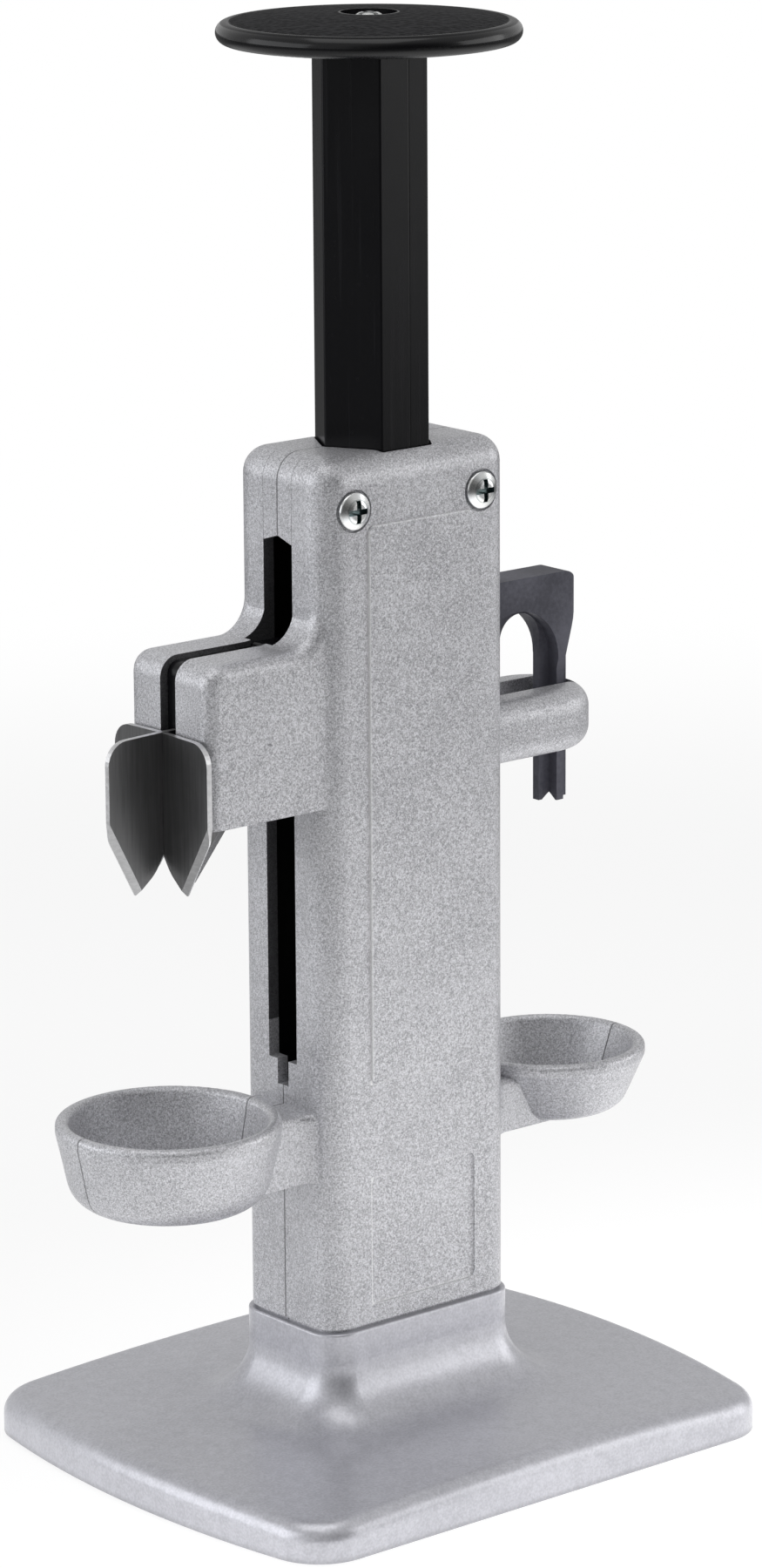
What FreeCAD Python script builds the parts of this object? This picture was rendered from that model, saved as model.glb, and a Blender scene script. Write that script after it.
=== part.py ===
import FreeCAD, Part
import math
import os

from FreeCAD import Vector

# Hand-plunger pitter for plums and cherries. A cast column in two shells stands on a cast foot.
# A hexagonal plunger slides in it and carries a cross blade on the left and a pitting rod on the right.
# Millimetres. +X points to the cherry side, +Y to the back, +Z up. All heights are above the ground.
# Pieces are drawn about the plunger's axis, then moved so that the origin is under the middle of the whole.

# Foot
base_width = 131.9
base_depth = 108.2
base_side_bow = 6.3
base_corner = 12.0
base_rim_round = 4.0
base_wall = 3.2
base_crown_radius = 900.0
base_height = 11.6
neck_lip = 0.9
neck_fillet = 12.0
neck_rise = 17.9
neck_edge_round = 0.5
neck_ledge = 5.0
foot_stand_off = 0.8
foot_radius = 6.5
foot_pad = 2.4
foot_edge_round = 0.6
foot_stem_radius = 3.0
foot_stem_length = 3.6
foot_boss_wall = 2.0
foot_inset_x = 10.65
foot_inset_y = 14.1

# Plunger's tube
hex_flats = 20.86
hex_edge_round = 0.5
plunger_wall = 2.6
plunger_cap = 9.0
full_down_room = 16.0
hand_room = 18.4
travel_up = 15.0

# Column
column_height = 178.5
column_side_room = 12.16
column_corner = 5.6
column_top_round = 5.4
wall_side = 2.6
wall_front = 2.85
crown_wall = 7.0
cavity_corner = 3.0
shadow_gap_height = 0.7
shadow_gap_depth = 0.8
guide_rib_height = 0.87
guide_rib_width = 2.2
guide_rib_spread = 7.0
panel_width = 27.1
panel_raise = 0.5
panel_sink = 0.4
panel_corner = 1.6
panel_edge_round = 0.3
panel_shift = 0.5
upper_panel_margin = 13.7
lower_panel_margin = 4.5
lower_panel_height = 26.8
panel_space = 19.5

# Palm disc
disc_radius = 30.0
disc_rim_thickness = 4.3
disc_crown = 1.7
disc_recess = 1.0
disc_pocket_room = 1.8
disc_pocket_depth = 2.6
disc_land_step = 0.3
disc_land_inset = 0.5

# Arm that carries the blade, its guide on the column, and the slots in the column's side walls
arm_drop = 37.4
arm_height = 25.9
arm_root_fillet = 6.5
arm_edge_round = 1.8
arm_end_round = 1.0
arm_set_back = 1.65
thin_arm_sink = 0.6
slot_width = 8.8
slot_peak = 1.4
slot_reach = 5.1
left_guide_lift = 0.4
left_guide_height = 32.4
left_guide_inset = 1.55
left_guide_gap = 4.7
left_guide_end_round = 4.2
left_guide_edge = 2.8
left_guide_fillet = 7.0
left_guide_root_fillet = 3.0
dimple_radius = 0.9
dimple_depth = 0.4
dimple_out = 12.8
dimple_rise = 15.4

# Plum cup
cup_gap = 6.65
cup_rise = 48.9
cup_height = 17.6
cup_radius = 22.5
cup_foot_radius = 19.2
cup_foot_round = 6.6
cup_wall = 2.5
cup_hole_radius = 10.3
cup_rim_round = 1.2
cup_bridge_width = 17.6
cup_bridge_lift = 0.2
cup_bridge_drop = 3.0

# Cross blade
blade_thickness = 1.2
blade_gap = 0.85
blade_drop = 13.8
blade_height = 31.7
blade_wing_side = 13.65
blade_wing_across = 14.6
blade_corner_drop = 0.3
blade_corner_round = 4.5
blade_slant_height = 12.0
blade_heel_round = 2.0
blade_tip_reach = 7.4
blade_tip_round = 0.5
blade_notch_height = 7.7
blade_notch_round = 1.0
blade_tail_rise = 14.4
blade_tail_inside = 4.2
blade_tail_round = 1.0
blade_floor_room = 1.8
rivet_radius = 1.5
rivet_inset = 5.25
rivet_pitch = 10.5

# Cherry tray
tray_gap = 2.75
tray_rise = 45.3
tray_height = 13.7
tray_radius = 20.0
tray_foot_radius = 15.0
tray_foot_round = 5.0
tray_wall = 2.3
tray_hole_radius = 6.0
tray_rim_round = 1.1
tray_bridge_width = 19.0
tray_bridge_drop = 2.8
bridge_flare = 4.0
bridge_edge_round = 1.5

# Pitting rod, its arm and its guide
rod_reach = 3.7
rod_half_depth = 3.3
rod_web = 1.8
rod_below_guide = 11.9
rod_notch_depth = 2.4
pusher_rise = 4.6
pusher_end_round = 3.0
pusher_side_round = 1.1
pusher_taper = 3.0
pusher_corner_round = 2.0
pusher_arch_radius = 11.0
pusher_arch_set_back = 1.05
pusher_arch_rise = 5.4
pusher_guide_room = 0.8
pusher_shoulder_drop = 7.7
web_arch_radius = 5.3
web_arch_drop = 8.0
web_drop = 4.0
right_guide_drop = 56.0
right_guide_height = 13.0
right_guide_width = 24.0
right_guide_wall = 2.5
right_guide_edge = 4.5

# Screws
screw_shank = 1.95
screw_head = 3.8
screw_head_height = 2.4
screw_cross_width = 1.1
screw_cross_reach = 2.3
screw_cross_depth = 1.5
screw_point = 1.5
column_screw_drop = 10.35
column_screw_length = 21.0
column_screw_sink = 0.9
column_boss_radius = 3.9
column_boss_gap = 0.38
base_screw_length = 20.0
base_screw_x_room = 0.6
base_screw_y_room = 7.65
base_pillar_gap = 1.36
base_pillar_height = 17.5
base_pillar_slot = 2.0
disc_screw_length = 11.0

# Fits, and how far a cut or a join reaches past a face
running_gap = 0.10
slide_gap = 0.25
stop_gap = 0.20
seat_gap = 0.05
screw_play = 0.25
head_play = 0.5
opening_gap = 0.55
neck_opening_gap = 0.8
over = 0.5

# Sizes across that follow from the ones above
hex_corner = hex_flats / math.sqrt(3)
half_width = hex_corner + column_side_room
cavity_half_x = half_width - wall_side
cavity_half_y = hex_flats / 2 + running_gap + guide_rib_height
half_depth = cavity_half_y + wall_front
plum_x = half_width + cup_gap + cup_radius
cherry_x = half_width + tray_gap + tray_radius
plunger_x = (plum_x + cup_radius - cherry_x - tray_radius) / 2
span = 2 * (plum_x + cup_radius)
slot_half = slot_width / 2
thick_arm_half = slot_half - stop_gap
pusher_half = slot_half - 2 * stop_gap
left_guide_half = half_depth - left_guide_inset
thin_arm_half = left_guide_gap / 2 - slide_gap
left_guide_end = -plum_x + blade_thickness / 2 + blade_gap
thin_arm_end = left_guide_end + arm_set_back
rivet_places = [thin_arm_end + rivet_inset, thin_arm_end + rivet_inset + rivet_pitch]
pusher_end = cherry_x + rod_reach
channel_end = pusher_end + 2 * slide_gap
right_guide_end = channel_end + right_guide_wall
base_pillar_inner = hex_corner + base_pillar_gap
base_screw_x = half_width + neck_lip - base_wall - screw_head - base_screw_x_room
base_screw_y = half_depth - base_screw_y_room
column_screw_x = hex_corner + column_boss_radius + column_boss_gap
foot_x = base_width / 2 - base_side_bow - foot_inset_x
foot_y = base_depth / 2 - foot_inset_y

# Heights that follow
rim_bottom = foot_stand_off
neck_top = base_height + neck_rise
ledge_under = neck_top - neck_ledge
column_top = neck_top + column_height
cavity_top = column_top - crown_wall
upper_panel_top = column_top - upper_panel_margin
lower_panel_bottom = neck_top + lower_panel_margin
lower_panel_top = lower_panel_bottom + lower_panel_height
upper_panel_bottom = lower_panel_top + panel_space
column_screw_height = column_top - column_screw_drop
cup_rim = neck_top + cup_rise
cup_floor = cup_rim - cup_height
cup_bridge_top = cup_rim - cup_bridge_drop
tray_rim = neck_top + tray_rise
tray_floor = tray_rim - tray_height
tray_bridge_top = tray_rim - tray_bridge_drop
arm_top = column_top - arm_drop
arm_bottom = arm_top - arm_height
left_guide_top = arm_top + left_guide_lift
left_guide_bottom = left_guide_top - left_guide_height
blade_top = arm_top - blade_drop
blade_tip = blade_top - blade_height
blade_notch = blade_tip + blade_notch_height
blade_lap = (blade_top + blade_notch) / 2
blade_tail_bottom = blade_tip + blade_tail_rise
rivet_height = (arm_bottom + blade_top) / 2
travel_down = blade_tip - cup_floor - cup_wall - blade_floor_room
plunger_bottom = travel_down + full_down_room
disc_underside = column_top + travel_down + hand_room
tube_top = disc_underside + disc_recess
disc_top = disc_underside + disc_rim_thickness + disc_crown
pocket_floor = disc_top - disc_pocket_depth
pusher_top = arm_top + pusher_rise
slot_bottom = arm_bottom - travel_down - stop_gap
plate_slot_bottom = blade_tail_bottom - travel_down - stop_gap
slot_shoulder = pusher_top + travel_up + stop_gap
right_guide_top = column_top - right_guide_drop
right_guide_bottom = right_guide_top - right_guide_height
pusher_underside = right_guide_top + pusher_guide_room
arch_centre = right_guide_top + pusher_arch_rise
rod_tip = right_guide_bottom - rod_below_guide


def in_plan(z):
    return lambda p: Vector(p.x, p.y, z)


def in_front(y):
    return lambda p: Vector(p.x, y, p.y)


def in_side(x):
    return lambda p: Vector(x, p.x, p.y)


def rounded_wire(corners, place):
    """Closed wire through corners given as (u, v, radius), each rounded by its own tangent arc."""
    count = len(corners)
    joints = []
    for index, (u, v, radius) in enumerate(corners):
        here = Vector(u, v, 0)
        before = Vector(corners[index - 1][0], corners[index - 1][1], 0)
        after = Vector(corners[(index + 1) % count][0], corners[(index + 1) % count][1], 0)
        back = (before - here).normalize()
        ahead = (after - here).normalize()
        if radius == 0:
            joints.append((here, here, here))
            continue
        half_angle = back.getAngle(ahead) / 2
        inward = (back + ahead).normalize()
        set_back = radius / math.tan(half_angle)
        centre = here + inward * (radius / math.sin(half_angle))
        joints.append((here + back * set_back, centre - inward * radius, here + ahead * set_back))
    edges = []
    for index in range(count):
        start, middle, end = joints[index]
        if (end - start).Length > 1e-6:
            edges.append(Part.Arc(place(start), place(middle), place(end)).toShape())
        following = joints[(index + 1) % count][0]
        if (following - end).Length > 1e-6:
            edges.append(Part.makeLine(place(end), place(following)))
    return Part.Wire(edges)


def post(corners, bottom, top):
    """Upright prism on a plan outline."""
    return Part.Face(rounded_wire(corners, in_plan(bottom))).extrude(Vector(0, 0, top - bottom))


def slab(corners, front, back):
    """Prism on an outline seen from the front, from one Y to another."""
    return Part.Face(rounded_wire(corners, in_front(front))).extrude(Vector(0, back - front, 0))


def side_slab(corners, left, right):
    """Prism on an outline seen from the side, from one X to another."""
    return Part.Face(rounded_wire(corners, in_side(left))).extrude(Vector(right - left, 0, 0))


def rectangle(low_u, high_u, low_v, high_v, radius=0.0):
    corners = [(low_u, low_v), (high_u, low_v), (high_u, high_v), (low_u, high_v)]
    return [(u, v, radius) for u, v in corners]


def centred(half_u, half_v, radius=0.0):
    return rectangle(-half_u, half_u, -half_v, half_v, radius)


def box(low_x, high_x, low_y, high_y, low_z, high_z):
    return Part.makeBox(high_x - low_x, high_y - low_y, high_z - low_z, Vector(low_x, low_y, low_z))


def hexagon(flats, radius=0.0):
    """Corners of a hexagon with two corners on the X axis."""
    reach = flats / math.sqrt(3)
    turns = [math.radians(60 * k) for k in range(6)]
    return [(reach * math.cos(a), reach * math.sin(a), radius) for a in turns]


def cylinder(radius, x, y, bottom, top):
    return Part.makeCylinder(radius, top - bottom, Vector(x, y, bottom))


def cross_cylinder(radius, x, z, front, back):
    """Cylinder along Y."""
    return Part.makeCylinder(radius, back - front, Vector(x, front, z), Vector(0, 1, 0))


def turned(profile, x=0.0):
    """Solid of revolution about an upright axis, from corners (radius from axis, height, round)."""
    wire = rounded_wire(profile, in_front(0))
    solid = Part.Face(wire).revolve(Vector(0, 0, 0), Vector(0, 0, 1), 360)
    solid.translate(Vector(x, 0, 0))
    return solid


def edges_where(shape, test):
    """Edges whose ends and middle all pass a test on their points."""
    chosen = []
    for edge in shape.Edges:
        stretch = edge.LastParameter - edge.FirstParameter
        points = [edge.valueAt(edge.FirstParameter + stretch * share) for share in (0.02, 0.5, 0.98)]
        if all(test(p) for p in points):
            chosen.append(edge)
    return chosen


def near(a, b, slack=0.01):
    return abs(a - b) < slack


def column_outside():
    """Outside of both column halves, with a rebate round the foot that leaves a shadow gap."""
    shoulder = neck_top + shadow_gap_height
    body = post(centred(half_width, half_depth, column_corner), shoulder, column_top)
    body = body.makeFillet(column_top_round, edges_where(body, lambda p: near(p.z, column_top)))
    inner = centred(
        half_width - shadow_gap_depth, half_depth - shadow_gap_depth, column_corner - shadow_gap_depth
    )
    body = body.fuse(post(inner, neck_top, shoulder))
    for side in (-1, 1):
        body = body.fuse(panel(side, upper_panel_bottom, upper_panel_top, -over, panel_raise))
        body = body.cut(panel(side, lower_panel_bottom, lower_panel_top, over, -panel_sink))
    return body.removeSplitter()


def panel(side, bottom, top, start, end):
    """Plate on the column's front or back face, from start to end above it, with its far edges eased."""
    left = panel_shift - panel_width / 2
    outline = rectangle(left, left + panel_width, bottom, top, panel_corner)
    first = side * (half_depth + start)
    last = side * (half_depth + end)
    plate = slab(outline, first, last)
    return plate.makeFillet(panel_edge_round, edges_where(plate, lambda p: near(p.y, last)))


def left_guide():
    """Guide block for the blade arm. Its top runs up the column in a hollow curve."""
    wall = -half_width + over / 2
    inside = wall - over + 3 * left_guide_edge
    above = left_guide_top + left_guide_fillet + left_guide_edge
    block = slab([
        (left_guide_end, left_guide_bottom, 0),
        (inside, left_guide_bottom, 0),
        (inside, above, 0),
        (wall, above, 0),
        (wall, left_guide_top, left_guide_fillet),
        (left_guide_end, left_guide_top, left_guide_end_round),
    ], -left_guide_half, left_guide_half)

    def outer(p):
        return near(abs(p.y), left_guide_half) and p.x < wall + 0.02 and p.z > left_guide_bottom + 0.1

    return block.makeFillet(left_guide_edge, edges_where(block, outer))


def right_guide():
    """Guide for the pitting rod, with a round end and round edges."""
    half = right_guide_width / 2
    root = half_width - 4 * over
    block = post([
        (root, -half, 0),
        (right_guide_end, -half, half - 0.001),
        (right_guide_end, half, half - 0.001),
        (root, half, 0),
    ], right_guide_bottom, right_guide_top)

    def outer_rim(p):
        level = near(p.z, right_guide_bottom) or near(p.z, right_guide_top)
        return level and p.x > root + 0.1

    return block.makeFillet(right_guide_edge, edges_where(block, outer_rim))


def bowl(rim, floor, radius, foot_radius, foot_round, rim_round, x):
    """Outside of a tapered cup with a rounded rim and a rounded lower edge."""
    return turned([
        (0, floor, 0),
        (foot_radius, floor, foot_round),
        (radius, rim - 2 * rim_round, rim_round * 0.8),
        (radius, rim, rim_round),
        (0, rim, 0),
    ], x)


def bowl_hollow(rim, floor, radius, foot_radius, foot_round, rim_round, wall, hole, x):
    """Hollow of the cup, with the hole that the stone leaves by."""
    lean = (radius - foot_radius) / (rim - floor)
    inner_foot = foot_radius + wall * (lean - math.sqrt(1 + lean ** 2))
    hollow = turned([
        (0, floor + wall, 0),
        (inner_foot, floor + wall, foot_round - wall),
        (radius - wall, rim, rim_round),
        (radius + over, rim, 0),
        (radius + over, rim + over, 0),
        (0, rim + over, 0),
    ], x)
    return hollow.fuse(cylinder(hole, x, 0, floor - over, floor + wall + over))


def bridge(side, reach, width, bottom, top):
    """Web from the column out to a cup, spreading into the column's round corners."""
    half = width / 2
    pivot_x = half_width - column_corner
    pivot_y = half_depth - column_corner
    spread = column_corner + bridge_flare
    rise = half + bridge_flare - pivot_y
    run = math.sqrt(spread ** 2 - rise ** 2)
    share = column_corner / spread
    touch_x = pivot_x + run * share - seat_gap
    touch_y = pivot_y + rise * share - seat_gap
    turn_x = touch_x + (touch_y - half) * rise / run
    plan = [
        (reach, -half, 0),
        (turn_x, -half, bridge_flare),
        (touch_x, -touch_y, 0),
        (pivot_x, over - half, 0),
        (pivot_x, half - over, 0),
        (touch_x, touch_y, 0),
        (turn_x, half, bridge_flare),
        (reach, half, 0),
    ]
    web = post([(side * x, y, r) for x, y, r in plan], bottom, top)

    def long_edge(p):
        return near(abs(p.y), half) and abs(p.x) > turn_x and near(p.z, top)

    return web.makeFillet(bridge_edge_round, edges_where(web, long_edge))


def cups():
    """Plum cup on the left and cherry tray on the right, with the webs that join them to the column."""
    plum = bowl(
        cup_rim, cup_floor, cup_radius, cup_foot_radius, cup_foot_round, cup_rim_round, -plum_x,
    )
    cherry = bowl(
        tray_rim, tray_floor, tray_radius, tray_foot_radius, tray_foot_round, tray_rim_round, cherry_x,
    )
    plum_web = bridge(-1, plum_x, cup_bridge_width, cup_floor + cup_bridge_lift, cup_bridge_top)
    cherry_web = bridge(1, cherry_x, tray_bridge_width, tray_floor, tray_bridge_top)
    return plum.fuse([plum_web, cherry, cherry_web])


def cup_hollows():
    plum = bowl_hollow(
        cup_rim, cup_floor, cup_radius, cup_foot_radius, cup_foot_round, cup_rim_round,
        cup_wall, cup_hole_radius, -plum_x,
    )
    cherry = bowl_hollow(
        tray_rim, tray_floor, tray_radius, tray_foot_radius, tray_foot_round, tray_rim_round,
        tray_wall, tray_hole_radius, cherry_x,
    )
    return plum.fuse(cherry)


def housing():
    """Both column halves as one body, before they are parted along the middle."""
    body = column_outside().fuse(left_guide())
    crease_x = -half_width + column_corner

    def crease(p):
        on_side = near(abs(p.y), left_guide_half, 0.02)
        return on_side and p.x > -half_width - 0.1 and p.x < crease_x and p.z > left_guide_bottom + 0.1

    body = body.makeFillet(left_guide_root_fillet, edges_where(body, crease))
    body = body.fuse([right_guide(), cups()]).cut(cup_hollows())
    body = body.cut(post(centred(cavity_half_x, cavity_half_y, cavity_corner), neck_top - over, cavity_top))
    body = body.fuse([column_bosses(), base_pillars(), guide_ribs()])
    return body.cut([
        post(hexagon(hex_flats + 2 * opening_gap, hex_edge_round), cavity_top - over, column_top + over),
        side_slot(-1), side_slot(1), blade_gap_cut(), rod_channel(), column_screw_holes(), base_screw_holes(),
        dimple(-1), dimple(1),
    ])


def dimple(side):
    """Small round dent in the outer face of each guide cheek."""
    centre = left_guide_half + dimple_radius - dimple_depth
    spot = Vector(-half_width - dimple_out, side * centre, left_guide_bottom + dimple_rise)
    return Part.makeSphere(dimple_radius, spot)


def blade_gap_cut():
    """Gap between the guide's cheeks, open at its end, top and bottom."""
    gap = left_guide_gap / 2
    inside = -half_width - slot_reach + over
    top = left_guide_top + left_guide_fillet + left_guide_edge + over
    return box(left_guide_end - over, inside, -gap, gap, left_guide_bottom - over, top)


def side_slot(side):
    """Slot with a peaked head. On the plum side it reaches into the guide and narrows at its foot."""
    corners = [
        (-slot_half, slot_bottom, 0),
        (slot_half, slot_bottom, 0),
        (slot_half, slot_shoulder, 0),
        (0, slot_shoulder + slot_peak, 0),
        (-slot_half, slot_shoulder, 0),
    ]
    if side > 0:
        return side_slab(corners, cavity_half_x - over, half_width + over)
    wide = side_slab(corners, -half_width - slot_reach, -cavity_half_x + over)
    half = blade_thickness / 2 + running_gap + 4 * slide_gap
    narrow = box(
        -half_width - over, -cavity_half_x + over, -half, half, plate_slot_bottom, slot_bottom + over
    )
    return wide.fuse(narrow)


def rod_channel():
    """Slot in the right guide that the rod and its arm pass through."""
    near_end = half_width - 2 * over
    rounding = pusher_side_round + slide_gap
    plan = [
        (near_end, -slot_half, 0),
        (channel_end, -slot_half, rounding),
        (channel_end, slot_half, rounding),
        (near_end, slot_half, 0),
    ]
    return post(plan, right_guide_bottom - over, right_guide_top + over)


def column_bosses():
    reach = cavity_half_y + over
    bosses = [
        cross_cylinder(column_boss_radius, side * column_screw_x, column_screw_height, -reach, reach)
        for side in (-1, 1)
    ]
    return bosses[0].fuse(bosses[1])


def base_pillars():
    """Solid corners at the foot of the column that the base screws bite into."""
    pillars = []
    for side_x in (-1, 1):
        for side_y in (-1, 1):
            x_low, x_high = sorted((side_x * base_pillar_inner, side_x * (cavity_half_x + over)))
            y_low, y_high = sorted((side_y * base_pillar_slot, side_y * (cavity_half_y + over)))
            pillars.append(box(x_low, x_high, y_low, y_high, neck_top, neck_top + base_pillar_height))
    return pillars[0].fuse(pillars[1:])


def guide_ribs():
    """Upright ribs on which the plunger's front and back flats run."""
    ribs = []
    inner = hex_flats / 2 + running_gap
    for side in (-1, 1):
        for place in (-1, 1):
            left = (place * guide_rib_spread - guide_rib_width) / 2
            right = left + guide_rib_width
            y_low, y_high = sorted((side * inner, side * (cavity_half_y + over)))
            ribs.append(box(left, right, y_low, y_high, plunger_bottom, cavity_top + over))
    return ribs[0].fuse(ribs[1:])


def column_screw_holes():
    """Sunk seats for the heads, loose holes in the front half and close holes in the back half."""
    holes = []
    seat = -half_depth + column_screw_sink
    end = seat + column_screw_length + over
    for side in (-1, 1):
        x = side * column_screw_x
        z = column_screw_height
        holes.append(cross_cylinder(screw_head + head_play, x, z, -half_depth - panel_raise - over, seat))
        holes.append(cross_cylinder(screw_shank + screw_play, x, z, -half_depth, 0))
        holes.append(cross_cylinder(screw_shank + seat_gap, x, z, -seat_gap, end))
    return holes[0].fuse(holes[1:])


def base_screw_places():
    return [(sx * base_screw_x, sy * base_screw_y) for sx in (-1, 1) for sy in (-1, 1)]


def base_screw_holes():
    top = ledge_under + base_screw_length + over
    holes = [cylinder(screw_shank + seat_gap, x, y, neck_top - over, top) for x, y in base_screw_places()]
    return holes[0].fuse(holes[1:])


def half_of(body, side):
    """The part of the housing in front of the parting plane or behind it."""
    low, high = sorted((0, side * span))
    return body.common(box(-span, span, low, high, -over, column_top + over))


def foot_outline(inset, bottom, top):
    """Foot seen from above: straight front and back, bowed sides, round corners."""
    half_x = base_width / 2 - inset
    corner_x = half_x - base_side_bow
    half_y = base_depth / 2 - inset
    spots = [Vector(-corner_x, -half_y, bottom), Vector(corner_x, -half_y, bottom),
             Vector(corner_x, half_y, bottom), Vector(-corner_x, half_y, bottom)]
    edges = [
        Part.makeLine(spots[0], spots[1]),
        Part.Arc(spots[1], Vector(half_x, 0, bottom), spots[2]).toShape(),
        Part.makeLine(spots[2], spots[3]),
        Part.Arc(spots[3], Vector(-half_x, 0, bottom), spots[0]).toShape(),
    ]
    solid = Part.Face(Part.Wire(edges)).extrude(Vector(0, 0, top - bottom))
    upright = edges_where(solid, lambda p: near(abs(p.x), corner_x) and near(abs(p.y), half_y))
    return solid.makeFillet(base_corner - inset, upright)


def crown(drop):
    """Large ball that gives the foot its slightly domed top, turned so that its seam is underneath."""
    ball = Part.makeSphere(base_crown_radius - drop)
    ball.rotate(Vector(0, 0, 0), Vector(0, 1, 0), 90)
    ball.translate(Vector(0, 0, base_height - base_crown_radius))
    return ball


def base():
    """Foot casting: domed plate, neck, hollow underside, screw ledge and sockets for the rubber feet."""
    body = foot_outline(0.0, rim_bottom, base_height + base_wall).common(crown(0.0))

    def rim(p):
        outward = max(abs(p.x) / base_width, abs(p.y) / base_depth)
        return p.z > base_height / 2 and outward > 0.4

    body = body.makeFillet(base_rim_round, edges_where(body, rim))
    neck_x = half_width + neck_lip
    neck_y = half_depth + neck_lip
    neck_corner = column_corner + neck_lip
    body = body.fuse(post(centred(neck_x, neck_y, neck_corner), rim_bottom + over, neck_top))

    def root(p):
        beside = abs(p.x) < neck_x + 0.1 and abs(p.y) < neck_y + 0.1
        return beside and base_height * 0.7 < p.z < base_height + 0.1

    body = body.makeFillet(neck_fillet, edges_where(body, root))
    body = body.makeFillet(neck_edge_round, edges_where(body, lambda p: near(p.z, neck_top)))
    under = foot_outline(base_wall, rim_bottom - over, base_height).common(crown(base_wall))
    pocket = post(
        centred(neck_x - base_wall, neck_y - base_wall, neck_corner - base_wall), rim_bottom, ledge_under
    )
    body = body.cut([under, pocket])
    socket_top = foot_pad + foot_stem_length + slide_gap
    for x, y in foot_places():
        body = body.fuse(cylinder(foot_stem_radius + foot_boss_wall, x, y, foot_pad, base_height - base_wall))
        body = body.cut(cylinder(foot_stem_radius + seat_gap, x, y, foot_pad - over, socket_top))
    opening = hexagon(hex_flats + 2 * neck_opening_gap, hex_edge_round)
    body = body.cut(post(opening, ledge_under - over, neck_top + over))
    for x, y in base_screw_places():
        body = body.cut(cylinder(screw_shank + screw_play, x, y, ledge_under - over, neck_top + over))
    return body


def foot_places():
    return [(sx * foot_x, sy * foot_y) for sx in (-1, 1) for sy in (-1, 1)]


def rubber_foot(x, y):
    """Rubber pad with a stem that is pressed into its socket."""
    pad = cylinder(foot_radius, x, y, 0, foot_pad)
    pad = pad.makeFillet(foot_edge_round, edges_where(pad, lambda p: near(p.z, 0)))
    return pad.fuse(cylinder(foot_stem_radius, x, y, foot_pad, foot_pad + foot_stem_length))


def left_arm():
    """Arm that carries the blade: thick in the column's slot, thin between the guide's cheeks."""
    thick_end = -half_width - slot_reach + slide_gap
    root = -hex_corner + 4 * over
    thick = slab([
        (root, arm_bottom, 0),
        (root, arm_top + arm_root_fillet, 0),
        (-hex_corner, arm_top + arm_root_fillet, 0),
        (-hex_corner, arm_top, arm_root_fillet - 0.01),
        (thick_end, arm_top, arm_end_round),
        (thick_end, arm_bottom, arm_end_round),
    ], -thick_arm_half, thick_arm_half)

    def crest(p):
        return near(abs(p.y), thick_arm_half) and p.z > arm_top - 0.01 and p.x < -hex_corner + 0.01

    thick = thick.makeFillet(arm_edge_round, edges_where(thick, crest))
    thin = slab([
        (root, arm_bottom, 0),
        (root, arm_top - thin_arm_sink, 0),
        (thin_arm_end, arm_top - thin_arm_sink, left_guide_end_round - arm_set_back),
        (thin_arm_end, arm_bottom, arm_end_round),
    ], -thin_arm_half, thin_arm_half)
    arm = thick.fuse(thin)
    half = blade_thickness / 2 + seat_gap
    tail = -half_width + blade_tail_inside + seat_gap
    arm = arm.cut(box(thin_arm_end - over, tail, -half, half, arm_bottom - over, blade_top + seat_gap))
    reach = thin_arm_half + over
    for x in rivet_places:
        arm = arm.cut(cross_cylinder(rivet_radius + seat_gap, x, rivet_height, -reach, reach))
    return arm


def right_arm():
    """Arm and pitting rod: a thick arched bracket with a thin web, and a rod of plus section."""
    root = hex_corner - 6 * over
    half_web = rod_web / 2
    arch_right = cherry_x - pusher_arch_set_back
    arch_left = arch_right - 2 * pusher_arch_radius
    arch_top = arch_centre + pusher_arch_radius
    arch_round = pusher_arch_radius - 0.001
    bracket = slab([
        (root, pusher_underside, 0),
        (root, pusher_top, 0),
        (pusher_end, pusher_top, pusher_end_round),
        (pusher_end, pusher_top - pusher_shoulder_drop, pusher_corner_round),
        (cherry_x + half_web, arch_centre, pusher_corner_round),
        (cherry_x + half_web, rod_tip, 0),
        (cherry_x - half_web, rod_tip, 0),
        (cherry_x - half_web, arch_centre - 2 * pusher_corner_round, 0),
        (arch_right, arch_centre - pusher_corner_round, 0),
        (arch_right, arch_top, arch_round),
        (arch_left, arch_top, arch_round),
        (arch_left, pusher_underside, 0),
    ], -pusher_half, pusher_half)
    window_right = cherry_x - rod_reach
    window_left = window_right - 2 * web_arch_radius
    window_top = pusher_top - web_arch_drop
    web = slab([
        (pusher_end, rod_tip, 0),
        (pusher_end, pusher_top - web_drop, 0),
        (half_width, pusher_top - web_drop, 0),
        (half_width, pusher_underside, 0),
        (window_left, pusher_underside, over),
        (window_left, window_top, web_arch_radius - 0.001),
        (window_right, window_top, web_arch_radius - 0.001),
        (window_right, rod_tip, 0),
    ], -half_web, half_web)
    plan = [
        (root, -pusher_half, 0),
        (pusher_end, -pusher_half, pusher_side_round),
        (pusher_end, pusher_half, pusher_side_round),
        (root, pusher_half, 0),
    ]
    arm = bracket.fuse(web).common(post(plan, rod_tip - over, pusher_top + over))
    for side in (-1, 1):
        shaving = side_slab([
            (side * rod_half_depth, rod_tip - over, 0),
            (side * rod_half_depth, arch_centre - pusher_taper, 0),
            (side * pusher_half, arch_centre, 0),
            (side * (pusher_half + over), arch_centre, 0),
            (side * (pusher_half + over), rod_tip - over, 0),
        ], arch_right - over, pusher_end + over)
        arm = arm.cut(shaving)
    return arm.cut(Part.makeCone(rod_reach * 0.8, 0, rod_notch_depth, Vector(cherry_x, 0, rod_tip)))


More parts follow.
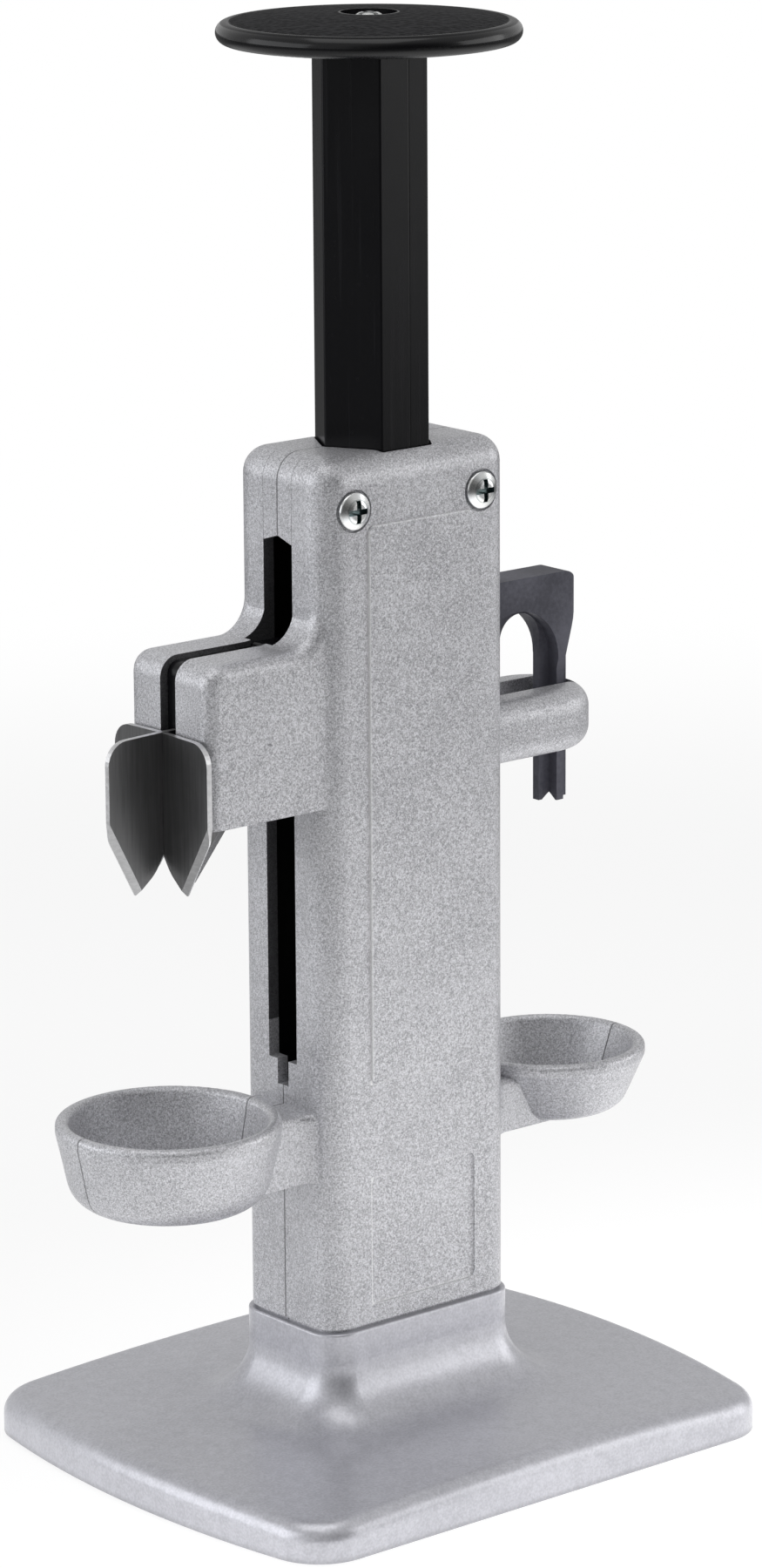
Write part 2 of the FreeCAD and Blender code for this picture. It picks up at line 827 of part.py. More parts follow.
def plunger():
    """One moulding: hexagonal tube, blade arm on the left, rod arm on the right."""
    tube = post(hexagon(hex_flats, hex_edge_round), plunger_bottom, tube_top)
    body = tube.fuse([left_arm(), right_arm()])
    under_cap = tube_top - plunger_cap
    body = body.cut(cylinder(hex_flats / 2 - plunger_wall, 0, 0, plunger_bottom - over, under_cap))
    return body.cut(cylinder(screw_shank + seat_gap, 0, 0, under_cap - over, tube_top + over))


def palm_disc():
    """Palm disc with a crowned top, a round rim, a pocket for its screw and a seat for the tube."""
    top_rim = disc_underside + disc_rim_thickness
    full_round = disc_rim_thickness / 2
    inner = disc_radius - full_round
    land = inner - disc_land_inset
    rim = Part.makeTorus(inner, full_round, Vector(0, 0, disc_underside + full_round))
    plate = cylinder(inner, 0, 0, disc_underside, top_rim - disc_land_step)
    ball = (land ** 2 + disc_crown ** 2) / (2 * disc_crown)
    cap = Part.makeSphere(ball, Vector(0, 0, disc_top - ball))
    cap = cap.common(cylinder(land, 0, 0, top_rim - disc_land_step - over, disc_top + over))
    body = plate.fuse([rim, cap])
    body = body.cut(post(hexagon(hex_flats + 2 * seat_gap, hex_edge_round), disc_underside - over, tube_top))
    body = body.cut(cylinder(screw_head + disc_pocket_room, 0, 0, pocket_floor, disc_top + over))
    return body.cut(cylinder(screw_shank + screw_play, 0, 0, tube_top - over, pocket_floor + over))


def wing(reach, side):
    """Corners of one blade wing, as (distance from the blade's axis, height, round), from top to tip."""
    return [
        (side * reach, blade_top - blade_corner_drop, blade_corner_round),
        (side * reach, blade_tip + blade_slant_height, blade_heel_round),
        (side * blade_tip_reach, blade_tip, blade_tip_round),
    ]


def blade_plate():
    """Long blade plate: outer wing, notch, inner wing and the tail that is riveted into the arm."""
    slope = blade_slant_height / (blade_wing_side - blade_tip_reach)
    tail_start = blade_tip_reach + blade_tail_rise / slope
    tail_end = plum_x - half_width + blade_tail_inside
    corners = [(0, blade_top, 0)] + wing(blade_wing_side, -1) + [
        (0, blade_notch, blade_notch_round),
        (blade_tip_reach, blade_tip, blade_tip_round),
        (tail_start, blade_tail_bottom, blade_tail_round),
        (tail_end, blade_tail_bottom, blade_tail_round),
        (tail_end, blade_top, blade_tail_round),
    ]
    half = blade_thickness / 2
    plate = slab([(u - plum_x, v, r) for u, v, r in corners], -half, half)
    gap = half + seat_gap
    plate = plate.cut(box(-plum_x - gap, -plum_x + gap, -gap, gap, blade_tip, blade_lap + seat_gap))
    for x in rivet_places:
        plate = plate.cut(cross_cylinder(rivet_radius + seat_gap, x, rivet_height, -gap, gap))
    return plate


def blade_cross_plate():
    """Short blade plate, square to the long one and lapped with it."""
    left = wing(blade_wing_across, -1)
    right = wing(blade_wing_across, 1)[::-1]
    corners = [(0, blade_top, 0)] + left + [(0, blade_notch, blade_notch_round)] + right
    half = blade_thickness / 2
    plate = side_slab(corners, -plum_x - half, -plum_x + half)
    gap = half + seat_gap
    return plate.cut(box(-plum_x - gap, -plum_x + gap, -gap, gap, blade_lap, blade_top + over))


def blade_rivets():
    return Part.makeCompound([
        cross_cylinder(rivet_radius, x, rivet_height, -thin_arm_half, thin_arm_half) for x in rivet_places
    ])


def pan_screw(length):
    """Screw pointing down from a seat at the origin, with a domed head and a cross recess above it."""
    flank = screw_head_height / 2
    head = turned([
        (0, 0, 0),
        (screw_head, 0, 0),
        (screw_head, flank, flank / 2),
        (screw_head / 2, screw_head_height, flank),
        (0, screw_head_height, 0),
    ])
    reach = screw_cross_reach
    half = screw_cross_width / 2
    floor = screw_head_height - screw_cross_depth
    for turn in (0, 90):
        bar = box(-reach, reach, -half, half, floor, screw_head_height + over)
        bar.rotate(Vector(0, 0, 0), Vector(0, 0, 1), turn)
        head = head.cut(bar)
    shank = cylinder(screw_shank, 0, 0, screw_point - length, 0)
    point = Part.makeCone(screw_shank / 2, screw_shank, screw_point, Vector(0, 0, -length))
    return head.fuse([shank, point])


def column_screws():
    screws = []
    for side in (-1, 1):
        screw = pan_screw(column_screw_length)
        screw.rotate(Vector(0, 0, 0), Vector(1, 0, 0), 90)
        screw.translate(Vector(side * column_screw_x, -half_depth + column_screw_sink, column_screw_height))
        screws.append(screw)
    return Part.makeCompound(screws)


def base_screws():
    screws = []
    for x, y in base_screw_places():
        screw = pan_screw(base_screw_length)
        screw.rotate(Vector(0, 0, 0), Vector(1, 0, 0), 180)
        screw.translate(Vector(x, y, ledge_under))
        screws.append(screw)
    return Part.makeCompound(screws)


def disc_screw():
    screw = pan_screw(disc_screw_length)
    screw.translate(Vector(0, 0, pocket_floor))
    return screw


def build():
    both = housing()
    pieces = {
        "base": base(),
        "front_shell": half_of(both, -1),
        "rear_shell": half_of(both, 1),
        "plunger": plunger(),
        "palm_disc": palm_disc(),
        "disc_screw": disc_screw(),
        "blade_plate": blade_plate(),
        "blade_cross_plate": blade_cross_plate(),
        "blade_rivets": blade_rivets(),
        "column_screws": column_screws(),
        "base_screws": base_screws(),
    }
    names = ["foot_front_left", "foot_rear_left", "foot_front_right", "foot_rear_right"]
    for name, (x, y) in zip(names, foot_places()):
        pieces[name] = rubber_foot(x, y)
    return pieces


os.makedirs("parts", exist_ok=True)
for name, shape in build().items():
    shape.translate(Vector(plunger_x, 0, 0))
    shape.exportStep("parts/" + name + ".step")
    print(name, "solids", len(shape.Solids), "volume", round(shape.Volume, 1), "valid", shape.isValid())
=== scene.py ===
# %% [markdown]
# # A hand pitter for plums and cherries
# A cast column in two painted halves stands on a cast foot. A black plunger with a palm disc slides in it.
# On the left the plunger pushes a cross of two steel blades, and on the right a thin rod. The solids come
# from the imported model. This file gives them their finishes, and grinds the blades' edges.

# %% Load the frame
import math

import bmesh
import bpy
from mathutils import Matrix, Vector


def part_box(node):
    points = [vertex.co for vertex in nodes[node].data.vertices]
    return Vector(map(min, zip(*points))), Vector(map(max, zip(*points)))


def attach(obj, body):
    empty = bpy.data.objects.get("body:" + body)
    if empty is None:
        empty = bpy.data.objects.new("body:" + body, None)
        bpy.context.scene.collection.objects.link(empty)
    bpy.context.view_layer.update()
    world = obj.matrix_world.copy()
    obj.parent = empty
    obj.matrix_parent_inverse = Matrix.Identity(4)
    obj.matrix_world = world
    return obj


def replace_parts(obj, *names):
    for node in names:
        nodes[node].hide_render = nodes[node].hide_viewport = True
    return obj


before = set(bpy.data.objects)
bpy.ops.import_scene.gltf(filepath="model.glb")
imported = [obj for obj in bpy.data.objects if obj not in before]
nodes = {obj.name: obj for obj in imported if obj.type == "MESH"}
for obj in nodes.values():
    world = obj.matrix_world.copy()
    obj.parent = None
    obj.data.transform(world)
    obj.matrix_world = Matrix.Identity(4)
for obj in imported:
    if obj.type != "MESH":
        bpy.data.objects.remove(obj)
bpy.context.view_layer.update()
print("solids:", ", ".join(sorted(nodes)))

# %% [markdown]
# The plunger's axis is not in the middle of the whole, because the plum cup reaches farther out than the
# tray. Its place is read from the palm disc, so that every finish below can measure from it.

# %% Find the plunger's axis
MM = 0.001
disc_low, disc_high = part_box("palm_disc")
axis_x = (disc_low.x + disc_high.x) / 2
blade_low, blade_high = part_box("blade_cross_plate")
blade_x = (blade_low.x + blade_high.x) / 2
print(f"plunger axis at X {axis_x / MM:.2f} mm, blade axis at X {blade_x / MM:.2f} mm")

# %% [markdown]
# Shader maths is easier to read as sums than as a web of boxes. A Wire stands for one socket, and sums on
# wires add Math nodes. A Finish holds one material and has one method that adds any other node.

# %% Helpers for finishes


class Wire:
    """One output socket. Arithmetic on it adds Math nodes."""

    def __init__(self, finish, socket):
        self.finish = finish
        self.socket = socket

    def math(self, operation, *values):
        return self.finish.add("ShaderNodeMath", {"operation": operation}, dict(enumerate(values)))

    def __add__(self, other):
        return self.math("ADD", self, other)

    __radd__ = __add__

    def __sub__(self, other):
        return self.math("SUBTRACT", self, other)

    def __rsub__(self, other):
        return self.math("SUBTRACT", other, self)

    def __mul__(self, other):
        return self.math("MULTIPLY", self, other)

    __rmul__ = __mul__

    def __pow__(self, other):
        return self.math("POWER", self, other)

    def __abs__(self):
        return self.math("ABSOLUTE", self)

    def __lt__(self, other):
        return self.math("LESS_THAN", self, other)

    def __gt__(self, other):
        return self.math("GREATER_THAN", self, other)


class Finish:
    """One material, with its Principled shader and the node-adding method."""

    def __init__(self, name, **constants):
        self.material = bpy.data.materials.new(name)
        self.material.use_nodes = True
        self.tree = self.material.node_tree
        self.shader = self.tree.nodes["Principled BSDF"]
        for socket, value in constants.items():
            self.shader.inputs[socket.replace("_", " ")].default_value = value
        self.place = self.add("ShaderNodeTexCoord", output="Object")

    def add(self, kind, settings=None, inputs=None, output=0):
        """A node of that kind. Settings are set first, then its sockets get values or wires."""
        node = self.tree.nodes.new(kind)
        for name, value in (settings or {}).items():
            setattr(node, name, value)
        for name, value in (inputs or {}).items():
            if isinstance(value, Wire):
                self.tree.links.new(value.socket, node.inputs[name])
            else:
                node.inputs[name].default_value = value
        return Wire(self, node.outputs[output])

    def feed(self, socket, wire):
        self.tree.links.new(wire.socket, self.shader.inputs[socket])

    def axis(self, name):
        return self.add("ShaderNodeSeparateXYZ", None, {"Vector": self.place}, name)

    def noise(self, scale, detail=2.0, rough=0.5, stretch=(1, 1, 1)):
        spot = self.add("ShaderNodeMapping", None, {"Vector": self.place, "Scale": stretch})
        inputs = {"Vector": spot, "Scale": scale, "Detail": detail, "Roughness": rough}
        return self.add("ShaderNodeTexNoise", None, inputs, "Fac")

    def ramp(self, value, low, high):
        """Smooth step from 0 at the low value to 1 at the high one."""
        inputs = {"Value": value, "From Min": low, "From Max": high}
        return self.add("ShaderNodeMapRange", {"interpolation_type": "SMOOTHSTEP"}, inputs)

    def blend(self, share, first, second):
        """Mix of two colours."""
        inputs = {0: share, 6: first, 7: second}
        return self.add("ShaderNodeMix", {"data_type": "RGBA"}, inputs, 2)

    def frame_line(self, across, along):
        """Thin line where the larger of two distances from a frame passes nought."""
        return 1 - self.ramp(abs(across.math("MAXIMUM", across, along)), 0.14 * MM, 0.36 * MM)

    def bump(self, height, distance, strength=1.0):
        inputs = {"Height": height, "Distance": distance, "Strength": strength}
        return self.add("ShaderNodeBump", None, inputs)


def grey(level, blue=0.0):
    return (level, level, level * (1 + blue), 1.0)


def dress(name, finish):
    """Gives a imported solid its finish."""
    carried = nodes[name].data.materials
    carried.clear()
    carried.append(finish.material)


print("helpers ready")

# %% [markdown]
# The column halves are castings under silver hammer paint with a thin clear coat. Its flakes are a quarter
# of a millimetre wide, so up close it looks like fine sand: some flakes catch the light and their
# neighbours don't. Noise of two fine sizes gives the flakes, and a slow third one keeps wide faces from
# looking printed. Where the halves meet there is a fine dark groove, which a mask on Y draws. The raised
# panels' frames carry a thin painted highlight, strongest on the left. The column's inside and the walls of
# its slots are painted near black, as painted shade where little light reaches.

# %% Paint of the column
CAVITY_X = 21.65
CAVITY_Y = 11.45
CAVITY_TOP = 201.05
PANEL_MIDDLE = 0.5
PANEL_HALF = 13.5
UPPER_PANEL = (137.3, 56.85)
LOWER_PANEL = (47.4, 13.25)
PANEL_FACE = 13.4
SIDE_SLOT_HALF = 4.4
GUIDE_GAP_HALF = 2.35
GUIDE_ROOT = 29.3
SLOT_FOOT = 92.0
LINE = 0.05


def panel_frame_highlight(paint, x, y, z):
    """Share of painted highlight on the frames of the panels: none on the right, most on the left."""
    across = abs(x - PANEL_MIDDLE * MM) - PANEL_HALF * MM
    frames = [paint.frame_line(across, abs(z - middle * MM) - half * MM)
              for middle, half in (UPPER_PANEL, LOWER_PANEL)]
    painted_sheen = (frames[0] + frames[1]) * (abs(y) > PANEL_FACE * MM) * (x > -14.6 * MM) * (x < 13.5 * MM)
    return painted_sheen * (0.22 + 0.33 * (x < -12.6 * MM))


def slot_wall_shade(x, y, z):
    """Mask of painted shade on the walls of the left slot and of the gap in the left guide."""
    wide = (abs(abs(y) - SIDE_SLOT_HALF * MM) < LINE * MM) * (x > (-GUIDE_ROOT - 2 * LINE) * MM)
    narrow = (abs(abs(y) - GUIDE_GAP_HALF * MM) < LINE * MM) * (x < (-GUIDE_ROOT + 2 * LINE) * MM)
    return (wide + narrow) * (x < -21.0 * MM) * (z > SLOT_FOOT * MM)


def column_paint():
    paint = Finish("column_silver_grain", Metallic=0.55, Specular_IOR_Level=0.5,
                   Coat_Weight=0.30, Coat_Roughness=0.14)
    x = paint.axis("X") - axis_x
    y = paint.axis("Y")
    z = paint.axis("Z")
    flake = paint.noise(4300, 1.0, 0.6)
    grain = paint.noise(2000, 2.0, 0.6)
    cloud = paint.noise(60, 2.0, 0.5)
    tone = flake * 0.52 + grain * 0.38 + cloud * 0.10
    colour = paint.blend(paint.ramp(tone, 0.34, 0.66), grey(0.30, 0.06), grey(0.76, 0.04))
    seam = 1 - paint.ramp(abs(y), 0.10 * MM, 0.26 * MM)
    painted_shade_inside = (abs(x) < CAVITY_X * MM) * (abs(y) < CAVITY_Y * MM) * (z < CAVITY_TOP * MM)
    # Painted highlight: thin near-white lines on the panel frames, strongest on the left.
    colour = paint.blend(panel_frame_highlight(paint, x, y, z), colour, grey(0.95))
    colour = paint.blend(seam * 0.72, colour, grey(0.10, 0.02))
    # Painted shade: the walls of the left slot and the column's inside are painted near black.
    colour = paint.blend(slot_wall_shade(x, y, z) * 0.80, colour, grey(0.02, 0.15))
    colour = paint.blend(painted_shade_inside, colour, grey(0.012, 0.05))
    paint.feed("Base Color", colour)
    paint.feed("Roughness", 0.38 + grain * 0.14 + cloud * 0.06 + seam * 0.2 + painted_shade_inside * 0.3)
    height = grain * 0.55 + flake * 0.45 - seam * 2.0
    paint.feed("Normal", paint.bump(height, 0.07 * MM, 0.7))
    return paint


column_finish = column_paint()
for name in ("front_shell", "rear_shell"):
    dress(name, column_finish)
print("column painted")

# %% [markdown]
# The foot has the same silver, but smoother and under more clear coat: it shows soft reflections, with only
# a faint orange-peel. Just above the ground it is a little darker: painted shade where the foot meets the
# floor.

# %% Paint of the foot


def foot_paint():
    paint = Finish("foot_silver_satin", Metallic=0.62, Specular_IOR_Level=0.5,
                   Coat_Weight=0.45, Coat_Roughness=0.16)
    z = paint.axis("Z")
    glitter = paint.noise(1900, 1.0, 0.5)
    peel = paint.noise(420, 1.5, 0.5)
    cloud = paint.noise(16, 3.0, 0.55)
    tone = glitter * 0.45 + peel * 0.25 + cloud * 0.30
    colour = paint.blend(paint.ramp(tone, 0.30, 0.70), grey(0.45, 0.08), grey(0.60, 0.07))
    ground_shade = 1 - paint.ramp(z, 0.9 * MM, 2.2 * MM)
    # Painted shade: the foot is darker just above the ground.
    colour = paint.blend(ground_shade * 0.35, colour, grey(0.20, 0.03))
    paint.feed("Base Color", colour)
    paint.feed("Roughness", 0.31 + peel * 0.06 + cloud * 0.07)
    paint.feed("Normal", paint.bump(peel * 0.5 + glitter * 0.3, 0.05 * MM, 0.5))
    return paint


dress("base", foot_paint())
print("foot painted")

# %% [markdown]
# The plunger is one black moulding. Its tube is glossy, with faint lines along the way that it slides, and
# soft sinks that bend the reflections. The arm with the rod was never rubbed, so it kept the satin of the
# mould, and its colour is a lighter blue-grey, a painted sheen. A ramp on X leads from one to the other
# inside the column, where it isn't seen. Near the middle of the tube's front runs the thin line where the
# mould's halves met.

# %% Black moulding of the plunger
SATIN_FROM = 16.0
SATIN_TO = 22.0
TUBE_LOW = 178.0
TUBE_FRONT = 9.0
MOULD_LINE = 1.2


def black_moulding():
    plastic = Finish("black_moulding", Specular_IOR_Level=0.22)
    x = plastic.axis("X") - axis_x
    y = plastic.axis("Y")
    z = plastic.axis("Z")
    rubbed = plastic.noise(900, 2.0, 0.6, stretch=(1, 1, 0.02))
    sink = plastic.noise(45, 2.0, 0.5)
    dust = plastic.noise(1100, 2.0, 0.6)
    marks = plastic.ramp(rubbed, 0.56, 0.74)
    satin = plastic.ramp(x, SATIN_FROM * MM, SATIN_TO * MM)
    tube = (z > TUBE_LOW * MM) * (y < -TUBE_FRONT * MM)
    line = tube * (1 - plastic.ramp(abs(x - MOULD_LINE * MM), 0.06 * MM, 0.20 * MM))
    specks = marks * 0.18 + plastic.ramp(dust, 0.6, 0.8) * 0.3
    glossy = plastic.blend(specks, grey(0.0032, 0.3), grey(0.014, 0.2))
    # Painted sheen: the satin arm is coloured a blue-grey lighter than black plastic.
    painted_sheen = plastic.blend(plastic.ramp(sink + dust * 0.3, 0.45, 0.85), grey(0.058, 0.25), grey(0.125, 0.22))
    colour = plastic.blend(satin, glossy, painted_sheen)
    plastic.feed("Base Color", plastic.blend(line * 0.6, colour, grey(0.001)))
    plastic.feed("Roughness", 0.20 + marks * 0.05 + sink * 0.10 + satin * 0.24)
    plastic.feed("Normal", plastic.bump(sink * 2.0 + rubbed * 0.06 + dust * satin * 0.3 - line, 0.10 * MM, 0.4))
    return plastic


dress("plunger", black_moulding())
print("plunger finished")

# %% [markdown]
# The palm disc has a leather grain pressed into its top, so that a wet hand doesn't slip. The top is dull,
# and the rim is plain with a glossy coat. The grain is cells about a millimetre wide with rounded tops,
# from Voronoi distances that noise bends. It stops short of the rim and of the hole for the screw.

# %% Leather-grained disc
FIELD_OUT = (27.0, 27.5)
FIELD_IN = (5.8, 6.2)


def disc_moulding():
    plastic = Finish("disc_moulding", Specular_IOR_Level=0.08, Coat_Roughness=0.16, Coat_IOR=1.4)
    x = plastic.axis("X") - axis_x
    y = plastic.axis("Y")
    z = plastic.axis("Z")
    radius = (x * x + y * y) ** 0.5
    top = plastic.ramp(z, disc_high.z - 2.1 * MM, disc_high.z - 1.9 * MM)
    outer = 1 - plastic.ramp(radius, FIELD_OUT[0] * MM, FIELD_OUT[1] * MM)
    field = top * outer * plastic.ramp(radius, FIELD_IN[0] * MM, FIELD_IN[1] * MM)
    wander = plastic.add("ShaderNodeTexNoise", None,
                         {"Vector": plastic.place, "Scale": 420.0, "Detail": 2.0}, "Color")
    bent = plastic.add("ShaderNodeVectorMath", {"operation": "MULTIPLY_ADD"},
                       {0: wander, 1: (1.1 * MM,) * 3, 2: plastic.place})
    cells = plastic.add("ShaderNodeTexVoronoi", {"feature": "SMOOTH_F1"},
                        {"Vector": bent, "Scale": 760.0, "Smoothness": 0.35}, "Distance")
    dust = plastic.noise(900, 2.0, 0.6)
    colour = plastic.blend(field * plastic.ramp(cells, 0.15, 0.75), grey(0.004, 0.2), grey(0.016, 0.1))
    plastic.feed("Base Color", colour)
    plastic.feed("Roughness", 0.24 + field * 0.42 + dust * 0.06)
    plastic.feed("Coat Weight", 0.7 - top * 0.7)
    plastic.feed("Normal", plastic.bump((1 - cells) * field, 0.32 * MM, 0.8))
    return plastic


dress("palm_disc", disc_moulding())
print("disc finished")

# %% [markdown]
# Screws and rivets are bright zinc plate, with the faint blue and yellow clouds of passivation. The cross
# recess of the column's screws is painted a dull dark teal that grows with the depth below the head's face:
# painted shade in the recess, which a mask on that depth draws. Rubber feet are matt black with a little dust.

# %% Small hardware and feet
SCREW_HEAD = 3.8
RECESS = 2.5
screw_low, screw_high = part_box("column_screws")
screw_face = screw_low.y
screw_z = (screw_low.z + screw_high.z) / 2
screw_x = (screw_high.x - screw_low.x) / 2 - SCREW_HEAD * MM
print(f"column screws {screw_x / MM:.2f} mm from the axis, {screw_z / MM:.2f} mm up")


def zinc_plate(name, recess_shade=False):
    zinc = Finish(name, Metallic=1.0)
    cloud = zinc.noise(260, 2.0, 0.55)
    scuff = zinc.noise(1600, 2.0, 0.6)
    colour = zinc.blend(cloud, (0.72, 0.75, 0.80, 1.0), (0.80, 0.79, 0.74, 1.0))
    colour = zinc.blend(zinc.ramp(scuff, 0.62, 0.80) * 0.4, colour, grey(0.42))
    if recess_shade:
        x = abs(zinc.axis("X") - axis_x) - screw_x
        z = zinc.axis("Z") - screw_z
        near = 1 - zinc.ramp((x * x + z * z) ** 0.5, (RECESS - 0.1) * MM, (RECESS + 0.1) * MM)
        shaded_recess = near * zinc.ramp(zinc.axis("Y") - screw_face, 0.16 * MM, 0.50 * MM)
        # Painted shade: a darker teal deeper in the cross recess.
        colour = zinc.blend(shaded_recess * 0.85, colour, (0.055, 0.105, 0.108, 1.0))
    zinc.feed("Base Color", colour)
    zinc.feed("Roughness", 0.16 + cloud * 0.12 + scuff * 0.08)
    zinc.feed("Normal", zinc.bump(scuff, 0.02 * MM, 0.35))
    return zinc


def black_rubber():
    rubber = Finish("foot_rubber", Specular_IOR_Level=0.3)
    dust = rubber.noise(500, 3.0, 0.6)
    rubber.feed("Base Color", rubber.blend(rubber.ramp(dust, 0.5, 0.8), grey(0.018), grey(0.055)))
    rubber.feed("Roughness", 0.72 + dust * 0.15)
    rubber.feed("Normal", rubber.bump(dust, 0.05 * MM, 0.5))
    return rubber


zinc_finish = zinc_plate("bright_zinc")
for name in ("disc_screw", "blade_rivets", "base_screws"):
    dress(name, zinc_finish)
dress("column_screws", zinc_plate("column_screw_zinc", recess_shade=True))
rubber_finish = black_rubber()
feet = [name for name in nodes if name.startswith("foot_")]
for name in feet:
    dress(name, rubber_finish)
print("hardware and", len(feet), "feet finished")

# %% [markdown]
# The blades are rolled stainless sheet, so they mirror the room softly, with fine lines down the sheet.
# Their cutting edges are ground on a wheel, which leaves lines across the band. The three finishes are one
# steel at three levels: the sheet is darkened as painted shade for the dim room it mirrors, the ground band
# is lighter, partly for its grind and partly as painted highlight, and the rim is near white, a painted
# highlight where the edges catch the light.

# %% Steel of the blades


def blade_steel(name, light, stretch, line_scale, rough):
    steel = Finish(name, Metallic=1.0)
    lines = steel.noise(line_scale, 3.0, 0.65, stretch)
    stain = steel.noise(110, 3.0, 0.6)
    # The light level is painted: low on the sheet as painted shade, higher on the ground band and rim as
    # painted highlight.
    colour = steel.blend(steel.ramp(lines, 0.3, 0.7), grey(light * 0.82, 0.01), grey(light, 0.01))
    stained = steel.ramp(stain, 0.55, 0.85) * 0.3
    steel.feed("Base Color", steel.blend(stained, colour, grey(light * 0.55, -0.03)))
    steel.feed("Roughness", rough + lines * 0.10 + stain * 0.08)
    steel.feed("Normal", steel.bump(lines + stain * 0.4, 0.02 * MM, 0.5))
    return steel


sheet_shaded_finish = blade_steel("blade_sheet_shaded", 0.20, (1, 1, 0.04), 1500, 0.24)
ground_finish = blade_steel("blade_ground_edge", 0.40, (0.3, 0.3, 1), 2200, 0.22)
rim_highlight_finish = blade_steel("blade_rim_highlight", 0.76, (1, 1, 1), 900, 0.30)
blade_finishes = (sheet_shaded_finish, ground_finish, rim_highlight_finish)
print("steel ready")

# %% [markdown]
# A blade is a flat sheet with an outline of straight runs and round corners. The outline starts as a few
# corner points, and a vertex bevel rounds them. A grinding wheel takes a flat facet off each slanting edge.
# A cut parallel to the edge marks where the facet starts, and from there the sheet thins evenly to a narrow
# land at the edge. The second side is a mirrored copy, and a bridge closes the rim.

# %% Sizes of the blades, in millimetres
THICK = (blade_high.x - blade_low.x) / MM
CREST = blade_high.z / MM
TIP = 125.1
HEEL = 137.1
NOTCH = 132.8
LAP = (CREST + NOTCH) / 2
TIP_REACH = 7.4
SLIT = THICK / 2 + 0.05
LAND = 0.25
FACET = 1.6
TAIL_START = 19.3
TAIL_END = 33.35
TAIL_BOTTOM = 139.5
SIDE_REACH = 13.65
CROSS_REACH = 14.6
CORNER_DROP = 0.3
CORNER_SET_BACK = 4.4
HEEL_SET_BACK = 0.8
TIP_SET_BACK = 0.25
ARCH_REACH = 2.7
ARCH_DROP = 3.9
ARCH_SET_BACK = 1.4
SHEET, GROUND, RIM = range(3)
print(f"blade sheet is {THICK:.2f} mm thick and {CREST - TIP:.1f} mm tall")

# %% Round an outline and grind its edges


def rounded_outline(corners):
    """bmesh with one face on the XZ plane, from (x, z, set-back of the rounding) in millimetres."""
    bm = bmesh.new()
    spots = [bm.verts.new((x * MM, 0.0, z * MM)) for x, z, cut in corners]
    bm.faces.new(spots)
    for spot, (x, z, cut) in zip(spots, corners):
        if cut:
            bmesh.ops.bevel(
                bm, geom=[spot], offset=cut * MM, affect="VERTICES", segments=8, profile=0.5, material=-1
            )
    bmesh.ops.recalc_face_normals(bm, faces=bm.faces)
    if bm.faces[:][0].normal.y > 0:
        bmesh.ops.reverse_faces(bm, faces=bm.faces)
    return bm


def cut_across(bm, point, normal):
    everything = bm.verts[:] + bm.edges[:] + bm.faces[:]
    bmesh.ops.bisect_plane(bm, geom=everything, dist=1e-7, plane_co=point, plane_no=normal)


def grind(corners, ground, tail_bottom=None):
    """Sheet with ground edges, each given by its upper and its lower end as (x, z) in millimetres."""
    bm = rounded_outline(corners)
    rise = (THICK - LAND) / 2 * MM
    facets = []
    for (high_x, high_z), (low_x, low_z) in ground:
        high = Vector((high_x, 0, high_z)) * MM
        low = Vector((low_x, 0, low_z)) * MM
        along = (high - low).normalized()
        inward = Vector((along.z, 0, -along.x)) * (-1 if high_x > 0 else 1)
        cut_across(bm, low + inward * FACET * MM, inward)
        facets.append((low, (high - low).length, along, inward))
    if tail_bottom:
        cut_across(bm, Vector((0, 0, tail_bottom)) * MM, Vector((0, 0, 1)))
    for spot in bm.verts:
        spot.co.y = -THICK / 2 * MM
    for face in bm.faces:
        middle = face.calc_center_median()
        for low, length, along, inward in facets:
            depth = (middle - low).dot(inward) / (FACET * MM)
            if 0 < depth < 1 and (middle - low).dot(along) < length + 2 * FACET * MM:
                face.material_index = GROUND
                for spot in face.verts:
                    share = min(max((spot.co - low).dot(inward) / (FACET * MM), 0.0), 1.0)
                    spot.co.y = -THICK / 2 * MM + rise * (1 - share)
    copy = bmesh.ops.duplicate(bm, geom=bm.verts[:] + bm.edges[:] + bm.faces[:])["geom"]
    copied = [e for e in copy if isinstance(e, bmesh.types.BMVert)]
    bmesh.ops.scale(bm, verts=copied, vec=(1, -1, 1))
    bmesh.ops.reverse_faces(bm, faces=[f for f in copy if isinstance(f, bmesh.types.BMFace)])
    rim = [e for e in bm.edges if e.is_boundary]
    for face in bmesh.ops.bridge_loops(bm, edges=rim)["faces"]:
        face.material_index = RIM
    bmesh.ops.recalc_face_normals(bm, faces=bm.faces)
    return bm


def piece(name, bm, finishes, body):
    mesh = bpy.data.meshes.new(name)
    bm.to_mesh(mesh)
    bm.free()
    for finish in finishes:
        mesh.materials.append(finish.material)
    made = bpy.data.objects.new(name, mesh)
    bpy.context.scene.collection.objects.link(made)
    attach(made, body)
    print(name, len(mesh.polygons), "faces")
    return made


print("blade tools ready")

# %% [markdown]
# The long blade's outer wing hangs free, and its tail goes back between the guide's cheeks into the black
# arm. The short blade stands square to it. Each has a slit half way, so that they push into each other as a
# cross. Between the tips the edge runs up in a pointed arch. Only the slanting outer edges are ground,
# because they cut first.

# %% The cross of blades


def wing(reach, side):
    """Corners of one wing, as (x, z, set-back), from its top down to its tip and into the arch beside it."""
    return [
        (side * reach, CREST - CORNER_DROP, CORNER_SET_BACK),
        (side * reach, HEEL, HEEL_SET_BACK),
        (side * TIP_REACH, TIP, TIP_SET_BACK),
        (side * ARCH_REACH, NOTCH - ARCH_DROP, ARCH_SET_BACK),
    ]


